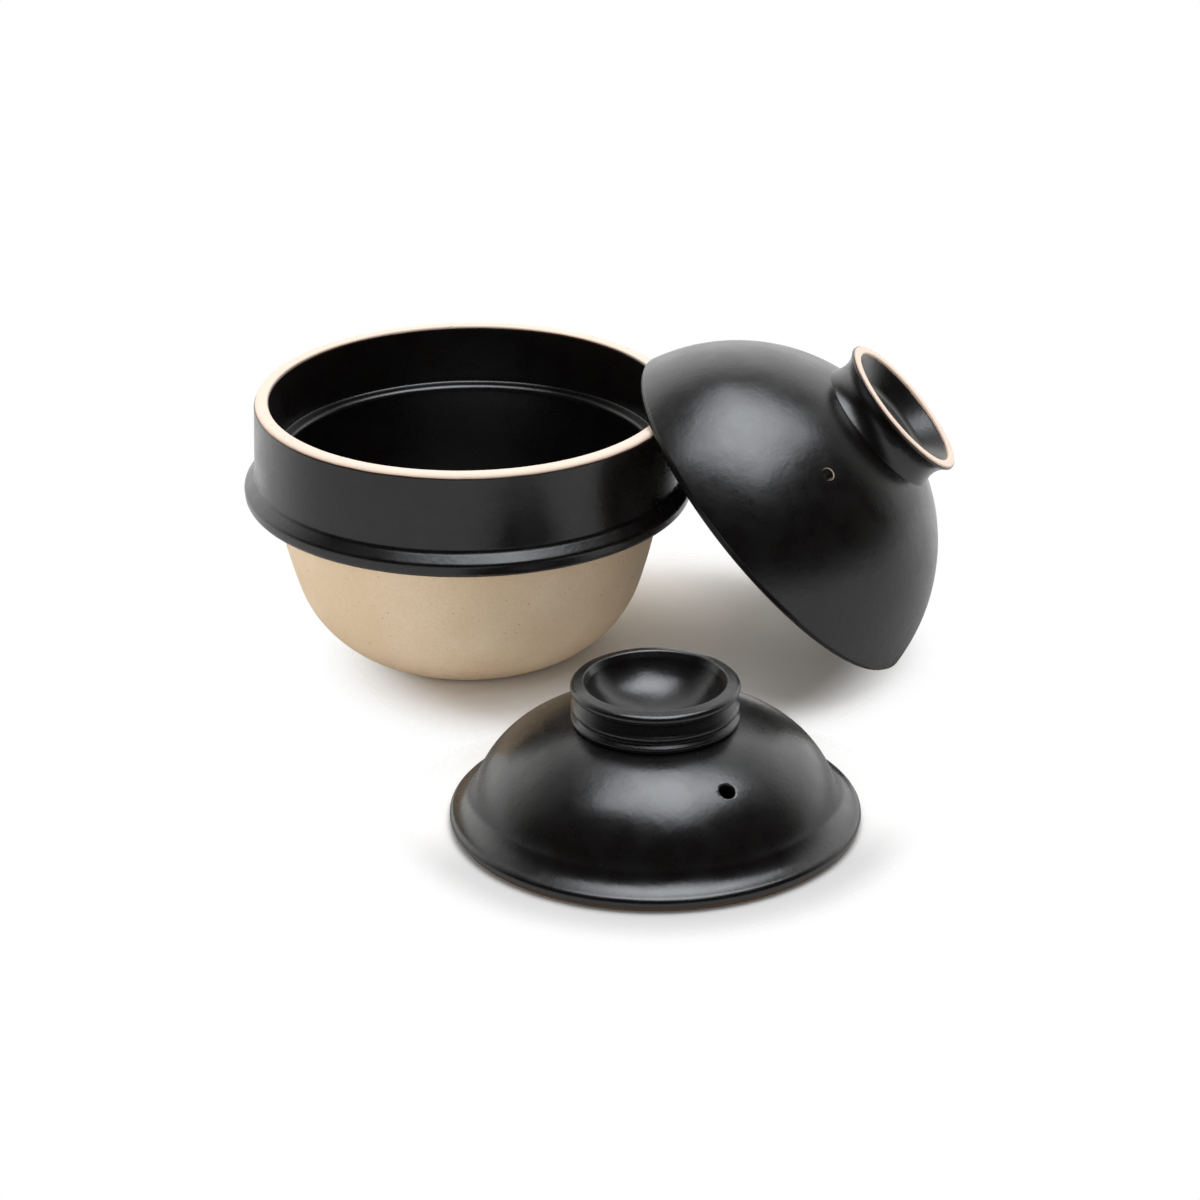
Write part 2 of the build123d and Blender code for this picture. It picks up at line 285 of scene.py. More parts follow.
def coat(name, line, start, end, side=1, turns=256, seed=1, wobble=0.2):
    """Glaze coat between two distances along an outline; a start on the axis has no edge."""
    line, spots = np.array(line), lengths(line)
    at_axis = line[0][0] < TINY and start < TINY
    face, back = raised(line, GLAZE, side), raised(line, -SUNK, side)
    shift_start = np.zeros(turns) if at_axis else wander(turns, seed, wobble)
    shift_end = wander(turns, seed + 1, wobble)
    c, s = circle(turns)
    front_rings, back_rings = [], []
    for spot in stations(spots, start, end, at_axis):
        from_start, from_end = spot - start, end - spot
        hold_start = np.clip(1 - from_start / HOLD, 0, 1)
        hold_end = np.clip(1 - from_end / HOLD, 0, 1)
        places = spot + shift_start * hold_start + shift_end * hold_end
        gap = from_end if at_axis else min(from_start, from_end)
        lift = sqrt(1 - (1 - min(gap / EDGE_W, 1)) ** 2)
        out = [np.interp(places, spots, face[:, k]) for k in (0, 1)]
        low = [np.interp(places, spots, back[:, k]) for k in (0, 1)]
        flat = [np.interp(places, spots, line[:, k]) for k in (0, 1)]
        r, z = (flat[k] + (out[k] - flat[k]) * lift for k in (0, 1))
        if at_axis and spot < TINY:
            r, low[0] = r * 0, low[0] * 0
        front_rings.append(np.column_stack([r * c, r * s, z]))
        back_rings.append(np.column_stack([low[0] * c, low[0] * s, low[1]]))
    return grid_piece(name, front_rings + back_rings[::-1], closed=not at_axis)


print("a coat is", GLAZE, "mm thick and ends over", EDGE_W, "mm")

# %% [markdown]
# ## Handmade faces
# No thrown or dipped face is quite even. A displace modifier could wave it, but the mesh itself is
# moved here, so that the waves are in the exported mesh too. Each piece also keeps a few numbers per
# point, such as the distance to the glaze's edge. The finishes read them as attributes.


# %% Waves and painted numbers
def point_values(piece, name):
    """Places or normals of a piece's points, in metres, one row for each."""
    values = np.zeros(len(piece.data.vertices) * 3, np.float32)
    piece.data.vertices.foreach_get(name, values)
    return values.reshape(-1, 3)


def ripple(piece, spread, seed, amount=0.05):
    """Wave a piece's face softly along its normals; spread and amount are in millimetres."""
    places, normals = point_values(piece, "co"), point_values(piece, "normal")
    shift = Vector((seed * 7.3, seed * 3.1, seed * 5.7))
    for i in range(len(places)):
        height = noise.noise(Vector(places[i].tolist()) / (spread * MM) + shift)
        height += 0.5 * noise.noise(Vector(places[i].tolist()) / (spread * MM * 0.4) - shift)
        places[i] += normals[i] * height * amount * MM
    piece.data.vertices.foreach_set("co", places.ravel())
    piece.data.update()


def local_points(piece):
    """Radius and height of each point of an upright piece, in millimetres, and the points."""
    places = point_values(piece, "co") / MM
    return np.hypot(places[:, 0], places[:, 1]), places[:, 2], places


def away_from(piece, line, spot):
    """Distance of each point of an upright piece from a place on an outline."""
    r, z, _ = local_points(piece)
    spots = lengths(line)
    at = [np.interp(spot, spots, np.array(line)[:, k]) for k in (0, 1)]
    return np.hypot(r - at[0], z - at[1])


def paint(piece, name, values):
    """Keep one number per point of a piece, for its finish to read."""
    layer = piece.data.attributes.new(name, "FLOAT", "POINT")
    layer.data.foreach_set("value", np.asarray(values, np.float32))


GLAZE_WAVE, CLAY_WAVE = 12, 9
print("glaze waves are", GLAZE_WAVE, "mm long and clay waves", CLAY_WAVE, "mm")

# %% [markdown]
# ## Finishes
# The black glaze is glossy but not mirror-like: iron in it makes it almost black, its face has a faint
# orange-peel texture, and where it thins to nothing at an edge the iron shows brown. The body is a
# pale, sandy cooking clay, bare and matt, with fine dark specks and small open pits. Painted pictures
# could show all this, but both finishes are mixed from noise in the piece's own coordinates, so they
# never repeat, have no seam and need no picture. Two small classes keep the node wiring short.


# %% Node helpers
def linear(r, g, b):
    """Linear colour of an sRGB colour with parts from 0 to 255."""
    parts = [v / 255 for v in (r, g, b)]
    return [v / 12.92 if v <= 0.04045 else ((v + 0.055) / 1.055) ** 2.4 for v in parts] + [1]


class Nodes:
    """Short ways to add nodes to a node tree."""

    def __init__(self, tree, coords):
        self.tree = tree
        self.coords = tree.nodes.new("ShaderNodeTexCoord").outputs[coords]

    def put(self, socket, value):
        """Link a socket or set its value."""
        if isinstance(value, bpy.types.NodeSocket):
            self.tree.links.new(value, socket)
        else:
            socket.default_value = value

    def node(self, kind, **inputs):
        """New node; inputs are sockets to link or values to set."""
        node = self.tree.nodes.new("ShaderNode" + kind)
        for socket, value in inputs.items():
            self.put(node.inputs[socket.replace("_", " ")], value)
        return node

    def math(self, kind, a, b=0.0):
        """Arithmetic on two values."""
        node = self.tree.nodes.new("ShaderNodeMath")
        node.operation = kind
        self.put(node.inputs[0], a)
        self.put(node.inputs[1], b)
        return node.outputs[0]

    def times(self, a, b):
        """Product of two values."""
        return self.math("MULTIPLY", a, b)

    def plus(self, a, b):
        """Sum of two values."""
        return self.math("ADD", a, b)

    def rest(self, a):
        """What is left of 1."""
        return self.math("SUBTRACT", 1.0, a)

    def ramp(self, value, low, high, start, end):
        """Smooth step of a value between low and high."""
        node = self.node(
            "MapRange", Value=value, From_Min=low, From_Max=high, To_Min=start, To_Max=end
        )
        node.interpolation_type = "SMOOTHSTEP"
        return node.outputs[0]

    def blend(self, share, first, second):
        """Colour between two colours."""
        node = self.tree.nodes.new("ShaderNodeMix")
        node.data_type = "RGBA"
        self.put(node.inputs["Factor"], share)
        self.put(node.inputs[6], first)
        self.put(node.inputs[7], second)
        return node.outputs[2]


print("bare clay in linear colour:", [round(v, 3) for v in linear(222, 200, 172)])


# %% A finish
class Finish(Nodes):
    """A material, with short ways to add texture to it."""

    def __init__(self, name):
        self.material = bpy.data.materials.new(name)
        self.material.use_nodes = True
        super().__init__(self.material.node_tree, "Object")
        self.shader = self.tree.nodes["Principled BSDF"]

    def noise(self, scale, detail=2.0):
        """Noise of this many waves a metre."""
        node = self.node("TexNoise", Vector=self.coords, Scale=scale, Detail=detail)
        return node.outputs[0]

    def dots(self, scale, size, softness):
        """Small round spots: 1 inside a spot and 0 outside."""
        cells = self.node("TexVoronoi", Vector=self.coords, Scale=scale)
        return self.ramp(cells.outputs["Distance"], size, size - softness, 0, 1)

    def painted(self, name):
        """Number painted on the piece's points."""
        node = self.tree.nodes.new("ShaderNodeAttribute")
        node.attribute_name = name
        return node.outputs["Fac"]

    def bump(self, height, distance, below=None):
        """Relief of this height, in metres."""
        node = self.node("Bump", Height=height, Distance=distance, Strength=1.0)
        if below is not None:
            self.put(node.inputs["Normal"], below)
        return node.outputs["Normal"]


print("a finish can use:", [name for name in vars(Finish) if not name.startswith("_")])

# %% [markdown]
# ### Black glaze
# Glaze is glass. A glossy shader over a black diffuse one would do, but the Principled shader holds
# both in one. Its base is so dark that almost all that is seen in it is reflection, and its index of
# refraction is above that of window glass, because a glaze rich in iron reflects strongly. The brown
# edge follows the number `from_edge`, the distance in millimetres to where the coat ends.


# %% Black glaze
def black_glaze():
    """Finish of every glaze coat."""
    f = Finish("black_satin_glaze")
    thin = f.ramp(f.painted("from_edge"), 0.15, 1.0, 1, 0)
    base = f.blend(thin, linear(7, 4, 3), linear(46, 26, 14))
    f.put(f.shader.inputs["Base Color"], base)
    f.put(f.shader.inputs["Roughness"], f.ramp(f.noise(90, 3), 0.3, 0.7, 0.25, 0.31))
    f.shader.inputs["IOR"].default_value = 1.7
    peel = f.bump(f.noise(480, 1.0), 0.00004)
    pits = f.dots(95, 0.04, 0.025)
    rare = f.ramp(f.noise(60, 1), 0.6, 0.7, 0, 1)
    f.put(f.shader.inputs["Normal"], f.bump(f.times(pits, rare), -0.00012, peel))
    return f.material


GLAZE_FINISH = black_glaze()
print("finish:", GLAZE_FINISH.name)

# %% [markdown]
# ### Bare clay
# Fired clay is never one colour. A cloud of two creams comes first, then sand grain and specks of
# iron over it. The clay is browner for a millimetre where glaze ran into it, and black and glossy
# where glaze was wiped over it. These are painted as `stain` and `wash`, which
# also carry painted shade on the inner lid's foot. The rims are painted paler and less yellow where
# the light falls on them, a painted highlight kept as `pale`.


# %% Bare clay
def bare_clay():
    """Finish of the unglazed body."""
    f = Finish("bare_sandy_clay")
    cloud = f.ramp(f.noise(28, 4), 0.3, 0.7, 0, 1)
    base = f.blend(cloud, linear(226, 205, 178), linear(217, 193, 163))
    grain = f.ramp(f.noise(900, 3), 0.35, 0.7, 0, 1)
    base = f.blend(f.times(grain, 0.22), base, linear(196, 168, 136))
    # Painted highlight: rims are painted paler where the light falls on them.
    base = f.blend(f.painted("pale"), base, linear(228, 208, 191))
    specks = f.times(f.dots(330, 0.16, 0.08), f.ramp(f.noise(150, 2), 0.5, 0.62, 0, 0.55))
    base = f.blend(specks, base, linear(120, 88, 60))
    # Stain and wash also carry painted shade on the inner lid's foot.
    base = f.blend(f.painted("stain"), base, linear(150, 108, 72))
    base = f.blend(f.painted("wash"), base, linear(14, 12, 12))
    f.put(f.shader.inputs["Base Color"], base)
    matt, glossy = (0.85,) * 4, (0.3,) * 4
    f.put(f.shader.inputs["Roughness"], f.blend(f.painted("wash"), matt, glossy))
    f.shader.inputs["IOR"].default_value = 1.5
    f.shader.inputs["Specular IOR Level"].default_value = 0.35
    sand = f.bump(f.noise(1100, 3), 0.00006)
    pits = f.dots(170, 0.1, 0.06)
    rare = f.ramp(f.noise(80, 1), 0.5, 0.6, 0, 1)
    f.put(f.shader.inputs["Normal"], f.bump(f.times(pits, rare), -0.00035, sand))
    return f.material


CLAY_FINISH = bare_clay()
print("finish:", CLAY_FINISH.name)

# %% [markdown]
# ## Fitting
# Every piece goes through the same last steps. It takes its finish, its face is smooth and stays
# crisp only at real corners, its mesh is moved to its place, it rides on its body, and it stands for
# its CAD node. The place could be set on the object instead. It goes into the mesh, so that the
# leaning lid's box is as tight as its points.

# %% Fit a piece to the frame
CRISP = 40
FAR = 9.0


def fit(piece, node, body, place, finish):
    """Place an upright piece, finish it and let it stand for a CAD node."""
    piece.data.materials.clear()
    piece.data.materials.append(finish)
    piece.data.polygons.foreach_set("use_smooth", [True] * len(piece.data.polygons))
    piece.data.set_sharp_from_angle(angle=radians(CRISP))
    piece.data.transform(place)
    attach(piece, body)
    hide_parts(node)
    corners = point_values(piece, "co") / MM
    span = corners.max(axis=0) - corners.min(axis=0)
    print(piece.name, "for", node, "is", " x ".join(str(round(float(v), 1)) for v in span), "mm")


def clay(piece, node, body, place):
    """Fit a bare clay piece."""
    for name in ("stain", "wash", "pale"):
        if name not in piece.data.attributes:
            paint(piece, name, [0] * len(piece.data.vertices))
    fit(piece, node, body, place, CLAY_FINISH)


def glaze(piece, node, body, place, line, edges):
    """Fit a glaze coat whose edges lie at these distances along its outline."""
    gap = np.full(len(piece.data.vertices), FAR)
    for edge in edges:
        gap = np.minimum(gap, away_from(piece, line, edge))
    paint(piece, "from_edge", gap)
    fit(piece, node, body, place, GLAZE_FINISH)


def stained(*gaps):
    """Strength of the brown stain for each point, from its distances to the glaze's edges."""
    return np.clip(1 - np.minimum.reduce(gaps) / 0.9, 0, 1) * 0.6


print("faces stay crisp at corners over", CRISP, "degrees")

# %% [markdown]
# ## The pot
# The bowl was thrown thick, with a ring foot, a ledge inside for the inner lid, a fat bead round the
# shoulder and an upright collar. Separate rings for bead and collar would leave joints that a thrown
# pot doesn't have, so its section is drawn once. The same lines carry the glaze: one coat runs over
# the collar and the bead, the other lines the inside from the floor to the rim.

# %% The bowl's outline
POT_H, MOUTH_R, COLLAR_R, COLLAR_FOOT_R = 111.5, 83.4, 88.8, 89.7
CREASE_Z, UNDER_Z, BEAD_R, SHOULDER_R, FOOT_R = 79.5, 68.2, 94.0, 81.4, 43.0
BELLY = (FOOT_R + (SHOULDER_R - FOOT_R) * 0.773, UNDER_Z * 0.444)
BEAD_FOOT = (BEAD_R - 5, UNDER_Z)
FLOOR_Z, RECESS_R, RECESS_Z = 8, 34, 1

low_bowl, belly_heading = arc((FOOT_R, 0), 19.4, BELLY, 40)
high_bowl, top_heading = arc(BELLY, belly_heading, (SHOULDER_R, UNDER_Z - 2), 30)
under_round, _ = arc(high_bowl[-1], top_heading, (SHOULDER_R + 2, UNDER_Z), 8)
bowl_line = joined(low_bowl, high_bowl, under_round, run(under_round[-1], BEAD_FOOT, 0.7))

foot_corners = [(0, RECESS_Z), (RECESS_R, RECESS_Z), (RECESS_R, 0), (FOOT_R, 0)]
foot_line = joined(run((0, FLOOR_Z), (0, RECESS_Z), 7), rounded(foot_corners, [0.3, 0.3]))
print("the bowl leaves its foot at 19.4 degrees and meets the bead at", round(top_heading, 1))

# %% The pot's inside
LEDGE_R, LEDGE_Z, POT_WALL = 77.6, 85.5, 6.5
low_wall, heading_in = arc((26, FLOOR_Z), 0, inset(BELLY, 68, POT_WALL), 40)
high_wall, _ = arc(low_wall[-1], heading_in, (LEDGE_R, LEDGE_Z - 2.6), 24)
ledge_corners = [high_wall[-1], (LEDGE_R, LEDGE_Z), (MOUTH_R - 0.6, LEDGE_Z), (MOUTH_R, POT_H - 0.8)]
ledge_line = rounded(ledge_corners, [1.8, 1.4])
inside_line = joined(run((0, FLOOR_Z), (26, FLOOR_Z)), low_wall, high_wall, ledge_line)
print("the ledge is", round(MOUTH_R - LEDGE_R, 1), "mm wide and", POT_H - LEDGE_Z, "mm under the rim")

# %% The rim, the collar and the bead
RIM_IN, RIM_OUT = 0.8, 1.6
rim_in = arc((MOUTH_R, POT_H - RIM_IN), 90, (MOUTH_R + RIM_IN, POT_H), 8)[0]
rim_out = arc((COLLAR_R - RIM_OUT, POT_H), 0, (COLLAR_R, POT_H - RIM_OUT), 10)[0]
rim_line = joined(rim_in, run(rim_in[-1], rim_out[0], 0.6), rim_out)

collar_line = run(rim_out[-1], (COLLAR_FOOT_R, CREASE_Z + 0.2), 1.6)
collar_heading = degrees(atan2(CREASE_Z + 0.2 - POT_H + RIM_OUT, COLLAR_FOOT_R - COLLAR_R))
crease_line = arc(collar_line[-1], collar_heading, (COLLAR_FOOT_R + 1.2, CREASE_Z - 2.3), 12)[0]
bead_corners = [crease_line[-1], (BEAD_R + 0.2, UNDER_Z + 5.7), (BEAD_R - 0.3, UNDER_Z + 0.8)]
bead_line = rounded(bead_corners + [BEAD_FOOT], [2.0, 2.6], 12, 0.6)
outside_line = joined(collar_line, crease_line, bead_line)
print("the pot's outline has", len(outside_line), "points from its rim to its bead")

# %% [markdown]
# The clay is one closed turning. The coats run a little past the CAD's coats where the photograph shows
# glaze, round the bead's lower edge and up to the rim's shoulder, and stop in a wandering line.

# %% The pot's pieces
pot_section = joined(foot_line[1:], bowl_line, outside_line[::-1], rim_line[::-1], inside_line[::-1])
pot_clay = turn_clay("pot_clay", pot_section)

outer_run = joined(rim_line, outside_line, bowl_line[::-1])
outer_start, outer_end = mark(outer_run, rim_out[-1]), mark(outer_run, BEAD_FOOT) + 0.5
pot_collar_glaze = coat(
    "pot_collar_glaze", outer_run, outer_start, outer_end, seed=11, wobble=0.25
)

inner_run = joined(inside_line, rim_line)
inner_end = mark(inner_run, rim_in[0])
pot_inside_glaze = coat("pot_inside_glaze", inner_run, 0, inner_end, seed=13)

for piece in (pot_clay, pot_collar_glaze, pot_inside_glaze):
    face_out(piece)
ripple(pot_collar_glaze, GLAZE_WAVE, 1)
ripple(pot_inside_glaze, GLAZE_WAVE, 2)
print("the collar's glaze runs", round(outer_end - outer_start, 1), "mm down the outline")

# %% Fit the pot
upright = Matrix.Identity(4)
outer_gaps = [away_from(pot_clay, outer_run, edge) for edge in (outer_start, outer_end)]
paint(pot_clay, "stain", stained(*outer_gaps, away_from(pot_clay, inner_run, inner_end)))
_, height, _ = local_points(pot_clay)
# Painted highlight: the top of the pot is painted paler where the light falls on it.
paint(pot_clay, "pale", np.clip((height - POT_H + 6) / 3, 0, 1))
ripple(pot_clay, CLAY_WAVE, 3)
clay(pot_clay, "pot_body", "pot", upright)
glaze(pot_collar_glaze, "pot_glaze_outside", "pot", upright, outer_run, [outer_start, outer_end])
glaze(pot_inside_glaze, "pot_glaze_inside", "pot", upright, inner_run, [inner_end])

# %% [markdown]
# ## Steam vents
# Each lid has one small hole through its dome, pushed with a stick while the clay was soft. A dark
# disc would look like a hole from afar only, so a real one is cut, with a turned drill and a boolean
# modifier. It stands square to the dome, and its mouth is a little flared, as a finger or sponge
# would leave it.


# %% Drill for a vent
def vent_drill(centre, dome_r, reach, turn, radius, flare, wall):
    """Trumpet that stands square on a dome, at this reach from the axis and this turn round it."""
    lip = bow((radius + flare, 0), (radius + flare * 0.29, -flare * 0.29), (radius, -flare), 8)
    top, tip = radius + flare + 1.5, -wall - 4
    section = joined([(0, 3), (top, 3)], run((top, 3), lip[0]), lip)
    section = joined(section, run((radius, -flare), (radius, tip), 0.5), [(radius, tip), (0, tip)])
    drill = turn_clay("drill", section, turns=64)
    lean = asin((reach - centre[0]) / dome_r)
    stand = Matrix.Translation((centre[0] * MM, 0, centre[1] * MM)) @ Matrix.Rotation(lean, 4, "Y")
    out = Matrix.Translation((0, 0, dome_r * MM))
    drill.matrix_world = Matrix.Rotation(radians(turn), 4, "Z") @ stand @ out
    face_out(drill)
    return drill


def bore(pieces, drill):
    """Cut a drill out of some pieces and remove it."""
    for piece in pieces:
        step = piece.modifiers.new("cut", "BOOLEAN")
        step.operation, step.object, step.solver = "DIFFERENCE", drill, "EXACT"
        bpy.context.view_layer.update()
        ready = piece.evaluated_get(bpy.context.evaluated_depsgraph_get())
        result = bpy.data.meshes.new_from_object(ready)
        piece.modifiers.clear()
        piece.data = result
        print("bored", piece.name, "-", len(result.polygons), "faces")
    bpy.data.objects.remove(drill)


def spot_at(reach, turn, height):
    """Point at this reach from the axis, this turn round it and this height."""
    return np.array([reach * cos(radians(turn)), reach * sin(radians(turn)), height])


print("a vent's middle can be at", spot_at(55, 0, 60).tolist())

# %% [markdown]
# ## The outer lid
# A shell of even wall, part of a sphere, with a half-round rim and a low ring on top that serves as a
# grip and as a foot when the lid is used as a dish. A sphere primitive could be cut down to it, but
# the turned section gives the wall, the rim and the glaze's line at once. Only the ring's top edge is
# bare; it stands on that edge in the kiln.

# %% The outer lid's dome
LID_WALL, LID_RIM_R, LID_CROWN_H, NECK_R = 5.2, 79.3, 66.7, 30.4
LID_RISE = LID_CROWN_H - LID_WALL
LID_MIDDLE_R = (LID_RIM_R**2 + LID_RISE**2) / (2 * LID_RISE)
LID_CENTRE_Z = LID_CROWN_H - LID_WALL / 2 - LID_MIDDLE_R
RIM_SHARE = LID_RIM_R / LID_MIDDLE_R
OUT_R, IN_R = LID_MIDDLE_R + LID_WALL / 2, LID_MIDDLE_R - LID_WALL / 2


def dome(radius, start_r, end_r, steps):
    """Points on the lid's sphere between two distances from the axis."""
    turns = np.linspace(asin(start_r / radius), asin(end_r / radius), steps + 1)
    return [(radius * sin(t), LID_CENTRE_Z + radius * cos(t)) for t in turns]


lid_outside = dome(OUT_R, NECK_R, OUT_R * RIM_SHARE, 60)
lid_inside = dome(IN_R, NECK_R, IN_R * RIM_SHARE, 56)
lid_crown = dome(IN_R, 0, NECK_R, 18)
lid_rim = bow(lid_outside[-1], (LID_RIM_R, 0), lid_inside[-1], 28)
print("the dome's outer radius is", round(OUT_R, 1), "mm")

# %% The outer lid's ring
RING_H, RING_WALL = 15, 3.8
RING_Z, RING_R = lid_outside[0][1] + RING_H, NECK_R + 1.3
ring_side = (RING_R, RING_Z - 1.6)
waist = (NECK_R - 1.8, lid_outside[0][1] + (RING_H - 1.6) * 0.475)
lid_neck = bow(lid_outside[0], waist, ring_side, 30)
ring_top = [(RING_R, RING_Z), (RING_R - RING_WALL, RING_Z), (RING_R - RING_WALL, RING_Z - 1.6)]
lid_ring = rounded([ring_side] + ring_top, [0.7, 0.7], 6, 0.3)
lid_dish = rounded([(0, RING_Z - 10.2), (18.6, RING_Z - 9.8), lid_ring[-1]], [8.0], 18, 0.8)
print("the outer lid is", round(RING_Z, 1), "mm high and its ring", round(2 * RING_R, 1), "mm wide")

# %% The outer lid's clay
dome_clay = turn_clay("outer_lid_dome_clay", joined(lid_outside, lid_rim, lid_inside[::-1]))
under_neck = [lid_crown[-1], lid_neck[0]]
grip_section = joined(lid_crown, under_neck, lid_neck, lid_ring, lid_dish[::-1])
knob_clay = turn_clay("outer_lid_grip_clay", grip_section, 192)
print("clay:", dome_clay.name, knob_clay.name)

# %% [markdown]
# Three coats cover the outer lid: one from the ring down over the dome and round its rim, one under
# the dome, and one in the dish. They meet only across bare clay.

# %% The outer lid's glaze
top_run = joined(lid_ring[::-1], lid_neck[::-1], lid_outside, lid_rim)
top_start = mark(top_run, (RING_R, RING_Z - 0.75))
top_end = mark(top_run, lid_outside[-1]) + 0.8
top_glaze = coat("outer_lid_top_glaze", top_run, top_start, top_end, seed=21, wobble=0.25)

under_run = joined(lid_crown, lid_inside)
under_end = lengths(under_run)[-1] - 0.05
under_run = joined(under_run, lid_rim[::-1])
under_glaze = coat("outer_lid_under_glaze", under_run, 0, under_end, side=-1, seed=23)

dish_run = joined(lid_dish, lid_ring[::-1])
dish_end = mark(dish_run, lid_ring[-1]) + 0.3
dish_glaze = coat("outer_lid_dish_glaze", dish_run, 0, dish_end, turns=192, seed=25, wobble=0.25)

for piece in (dome_clay, knob_clay, top_glaze, under_glaze, dish_glaze):
    face_out(piece)
for piece, seed in ((top_glaze, 4), (under_glaze, 5), (dish_glaze, 6)):
    ripple(piece, GLAZE_WAVE, seed)
print("the top coat runs", round(top_end - top_start, 1), "mm down the outline")

# %% [markdown]
# The hole in the glaze is a little wider than the one in the clay, because glaze draws back from a
# hole's edge.

# %% The outer lid's vent
VENT_R, VENT_REACH, VENT_TURN = 2.6, 55.0, -104.25
lid_centre = (0, LID_CENTRE_Z)
vent = (VENT_REACH, VENT_TURN, VENT_R, 0.3, LID_WALL)
wide_vent = (VENT_REACH, VENT_TURN, VENT_R + 0.25, 0.25, LID_WALL)
bore([dome_clay], vent_drill(lid_centre, OUT_R, *vent))
bore([top_glaze, under_glaze], vent_drill(lid_centre, OUT_R + GLAZE, *wide_vent))

# %% [markdown]
# The lid is made upright and then leant over. Its place could be worked out from the lean alone, but
# it is measured from the packed dome's own box, so the dressed lid stands where the CAD lid does.

# %% Lean the outer lid
LEAN, LEAN_TURN = 48.0, -6.07
lean = Matrix.Rotation(radians(LEAN_TURN), 4, "Z") @ Matrix.Rotation(radians(LEAN), 4, "Y")


def middle_of(points):
    """Middle of the box round some points."""
    return (points.min(axis=0) + points.max(axis=0)) / 2


dome_r, dome_z, upright_points = local_points(dome_clay)
leant = upright_points * MM @ np.array(lean.to_3x3()).T
cad_low, cad_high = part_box("outer_lid_dome")
shift = (np.array(cad_low) + np.array(cad_high)) / 2 - middle_of(leant)
leaning = Matrix.Translation(Vector(shift.tolist())) @ lean
print("the lid is moved by", [round(float(v) / MM, 1) for v in shift], "mm")

# %% [markdown]
# The rim is wiped black all round, apart from the narrow foot line that it stood on to dry. The wall
# of the vent is painted black and glossy too.

# %% Fit the outer lid
on_rim = np.hypot(dome_r - LID_RIM_R, dome_z - LID_WALL / 2) < LID_WALL / 2 + 0.2
off_foot_line = np.clip((np.hypot(dome_r - LID_RIM_R + 0.6, dome_z) - 0.6) / 0.5, 0, 1)
vent_way = spot_at(VENT_REACH, VENT_TURN, sqrt(OUT_R**2 - VENT_REACH**2)) / OUT_R
from_centre = upright_points - np.array([0, 0, LID_CENTRE_Z])
depth = OUT_R - from_centre @ vent_way
near_vent = np.linalg.norm(from_centre - vent_way * OUT_R, axis=1) < 9
in_vent = np.where(near_vent, np.clip((depth + 0.1) / 0.3, 0, 1), 0)
paint(dome_clay, "wash", np.maximum(np.where(on_rim, off_foot_line, 0), in_vent))
top_gap = away_from(knob_clay, top_run, top_start)
paint(knob_clay, "stain", stained(top_gap, away_from(knob_clay, dish_run, dish_end)))
# Painted highlight: the bare ring is painted paler where the light falls on it.
paint(knob_clay, "pale", np.ones(len(knob_clay.data.vertices)))

clay(dome_clay, "outer_lid_dome", "outer_lid", leaning)
clay(knob_clay, "outer_lid_knob", "outer_lid", leaning)
glaze(top_glaze, "outer_lid_glaze_outside", "outer_lid", leaning, top_run, [top_start])
glaze(under_glaze, "outer_lid_glaze_inside", "outer_lid", leaning, under_run, [under_end])
glaze(dish_glaze, "outer_lid_glaze_dish", "outer_lid", leaning, dish_run, [dish_end])

# %% [markdown]
# ## The inner lid
# It rests on the ledge inside the pot. Its dome is flatter on top and steeper at the side, and its
# brim has a foot of bare clay. The dome is no part of one sphere, so it is drawn with arcs that each
# leave along the heading where the last one ended, which keeps the reflections unbroken.

# %% The inner lid's dome
SMALL_NECK, DOME_FOOT = (30.6, 42.6), (70.6, 13.2)
SHOULDER = (DOME_FOOT[0] - 40 * 0.3425, DOME_FOOT[1] + 29.4 * 0.646)
SMALL_WALL, CROWN_Z, BRIM_R, BRIM_Z, SKIRT_R = 5.5, 37.1, 79.5, 2.0, 70.5

small_dome, heading = arc(SMALL_NECK, -5.5, SHOULDER, 30)
small_wall, heading = arc(SHOULDER, heading, DOME_FOOT, 30)
flare, heading = arc(DOME_FOOT, heading, (78.7, 5.6), 16)
brim_edge, heading = arc(flare[-1], heading, (BRIM_R, BRIM_Z), 10)

small_crown = run((0, CROWN_Z), (SMALL_NECK[0], CROWN_Z))
small_dome_in, heading_in = arc(small_crown[-1], -1.8, inset(SHOULDER, 138.5, SMALL_WALL), 28)
small_wall_in, heading_in = arc(
    small_dome_in[-1], heading_in, inset(DOME_FOOT, 114, SMALL_WALL), 28
)
skirt_in, heading_in = arc(small_wall_in[-1], heading_in, (SKIRT_R, BRIM_Z), 16)
under_edge = arc((BRIM_R - 2, 0), 0, (BRIM_R, BRIM_Z), 8)[0]
small_foot = rounded([(SKIRT_R, BRIM_Z), (SKIRT_R, 0), (BRIM_R - 2, 0)], [0.4], 4, 1)
print("the brim ends at a heading of", round(heading, 1), "degrees")

# %% [markdown]
# The knob has two turned beads under an overhanging lip and a deep dish. They are drawn as a potter
# cuts them: corners first, and then each corner softened with its own radius.

